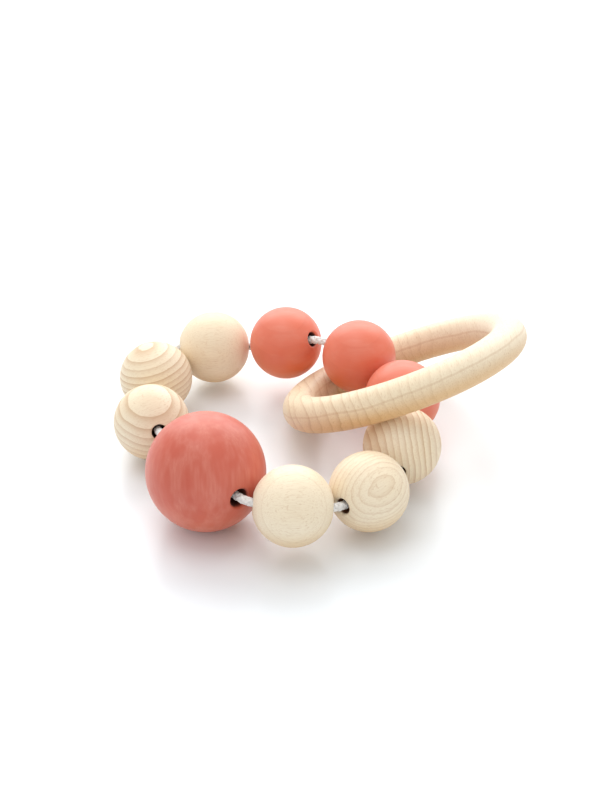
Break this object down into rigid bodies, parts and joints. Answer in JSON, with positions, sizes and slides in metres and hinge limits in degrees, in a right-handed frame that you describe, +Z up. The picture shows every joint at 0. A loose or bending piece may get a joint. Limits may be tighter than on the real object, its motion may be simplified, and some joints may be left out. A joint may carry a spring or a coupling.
{
  "type": "baby rattle",
  "caption": "Closed string of round wooden beads on a cord, with one larger bead and a wooden ring threaded on the loop.",
  "frame": {"origin": "middle of the footprint, on the ground plane that the rattle lies on", "axes": "+Z up from the ground; +X towards the side with the wooden ring; +Y away from the big bead"},
  "size_m": [0.1104, 0.0986, 0.0367],
  "materials": {
    "plain_beech": "sanded, unvarnished",
    "ring_beech": "sanded, lightly oiled",
    "coral_stained_beech": "water-based coral stain, matte",
    "white_cord": "smooth braided polyester"
  },
  "bodies": {
    "ring_side_of_the_string": {"cord_ring_side": "white_cord"},
    "ring": {"wooden_ring": "ring_beech"},
    "front_right_stretch": {"cord_front_right": "white_cord"},
    "front_stretch": {"cord_front": "white_cord"},
    "big_bead_stretch": {"cord_in_big_bead": "white_cord", "big_coral_bead": "coral_stained_beech", "cord_knot": "white_cord"},
    "back_left_stretch": {"cord_back_left": "white_cord"},
    "left_stretch": {"cord_left": "white_cord"},
    "front_left_stretch": {"cord_front_left": "white_cord"},
    "natural_bead_1": {"natural_bead_1": "plain_beech"},
    "natural_bead_2": {"natural_bead_2": "plain_beech"},
    "natural_bead_3": {"natural_bead_3": "plain_beech"},
    "coral_bead_1": {"coral_bead_1": "coral_stained_beech"},
    "coral_bead_2": {"coral_bead_2": "coral_stained_beech"},
    "coral_bead_3": {"coral_bead_3": "coral_stained_beech"},
    "natural_bead_4": {"natural_bead_4": "plain_beech"},
    "natural_bead_5": {"natural_bead_5": "plain_beech"},
    "natural_bead_6": {"natural_bead_6": "plain_beech"}
  },
  "joints": [
    {"name": "ring_lift", "type": "hinge", "parent": "ring_side_of_the_string", "child": "ring", "pos_m": [0.00475, 0.03223, 0.0047], "axis": [-0.7193, -0.6947, 0], "range_deg": [0, 55]},
    {"name": "loop_fold", "type": "hinge", "parent": "ring_side_of_the_string", "child": "front_right_stretch", "pos_m": [0.01717, -0.0215, 0.01488], "axis": [-0.5303, 0.8476, 0.0176], "range_deg": [0, 55], "deforming": ["cord_ring_side", "cord_front_right"]},
    {"name": "loop_fold_back", "type": "hinge", "parent": "ring_side_of_the_string", "child": "back_left_stretch", "pos_m": [-0.01963, 0.03732, 0.0161], "axis": [-0.5303, 0.8476, 0.0176], "range_deg": [0, 55], "deforming": ["cord_ring_side", "cord_back_left"]},
    {"name": "loop_squeeze", "type": "hinge", "parent": "front_right_stretch", "child": "front_stretch", "pos_m": [0.00363, -0.035, 0.0126], "axis": [0, 0, 1], "range_deg": [-10, 10], "deforming": ["cord_front_right", "cord_front"]},
    {"name": "loop_squeeze_big_bead", "type": "hinge", "parent": "front_stretch", "child": "big_bead_stretch", "pos_m": [-0.01435, -0.034, 0.01423], "axis": [0, 0, 1], "range_deg": [-9.46, 9.46], "deforming": ["cord_front", "cord_in_big_bead"]},
    {"name": "loop_squeeze_left", "type": "hinge", "parent": "back_left_stretch", "child": "left_stretch", "pos_m": [-0.03755, 0.03254, 0.01078], "axis": [0, 0, 1], "range_deg": [-14.26, 14.26], "deforming": ["cord_back_left", "cord_left"]},
    {"name": "loop_squeeze_front_left", "type": "hinge", "parent": "left_stretch", "child": "front_left_stretch", "pos_m": [-0.0446, 0.01408, 0.01056], "axis": [0, 0, 1], "range_deg": [-26.29, 26.29], "deforming": ["cord_left", "cord_front_left"]},
    {"name": "natural_bead_1_spin", "type": "hinge", "parent": "front_stretch", "child": "natural_bead_1", "pos_m": [-0.00556, -0.03928, 0.01372], "axis": [0.9919, 0.0345, -0.122], "continuous": true},
    {"name": "natural_bead_2_spin", "type": "hinge", "parent": "front_right_stretch", "child": "natural_bead_2", "pos_m": [0.01282, -0.03072, 0.01148], "axis": [0.669, 0.739, -0.0803], "continuous": true},
    {"name": "natural_bead_3_spin", "type": "hinge", "parent": "ring_side_of_the_string", "child": "natural_bead_3", "pos_m": [0.02152, -0.01229, 0.01227], "axis": [0.1415, 0.9778, 0.1545], "continuous": true},
    {"name": "coral_bead_1_spin", "type": "hinge", "parent": "ring_side_of_the_string", "child": "coral_bead_1", "pos_m": [0.02225, 0.00806, 0.01352], "axis": [-0.0707, 0.9969, -0.0337], "continuous": true},
    {"name": "coral_bead_2_spin", "type": "hinge", "parent": "ring_side_of_the_string", "child": "coral_bead_2", "pos_m": [0.01093, 0.02482, 0.01622], "axis": [-0.8763, 0.4056, 0.2599], "continuous": true},
    {"name": "coral_bead_3_spin", "type": "hinge", "parent": "ring_side_of_the_string", "child": "coral_bead_3", "pos_m": [-0.00935, 0.03535, 0.01475], "axis": [-0.7993, 0.4647, -0.3811], "continuous": true},
    {"name": "natural_bead_4_spin", "type": "hinge", "parent": "back_left_stretch", "child": "natural_bead_4", "pos_m": [-0.02992, 0.03928, 0.01144], "axis": [-0.9879, -0.1236, 0.0936], "continuous": true},
    {"name": "natural_bead_5_spin", "type": "hinge", "parent": "left_stretch", "child": "natural_bead_5", "pos_m": [-0.04518, 0.02581, 0.01013], "axis": [-0.2311, -0.9524, -0.1989], "continuous": true},
    {"name": "natural_bead_6_spin", "type": "hinge", "parent": "front_left_stretch", "child": "natural_bead_6", "pos_m": [-0.04401, 0.00235, 0.011], "axis": [0.3236, -0.9073, 0.2684], "continuous": true}
  ],
  "couplings": [
    {"joint": "loop_fold_back", "follows": "loop_fold", "ratio": 1},
    {"joint": "loop_squeeze_big_bead", "follows": "loop_squeeze", "ratio": -0.9451},
    {"joint": "loop_squeeze_left", "follows": "loop_squeeze", "ratio": 1.4254},
    {"joint": "loop_squeeze_front_left", "follows": "loop_squeeze", "ratio": -2.6276}
  ]
}
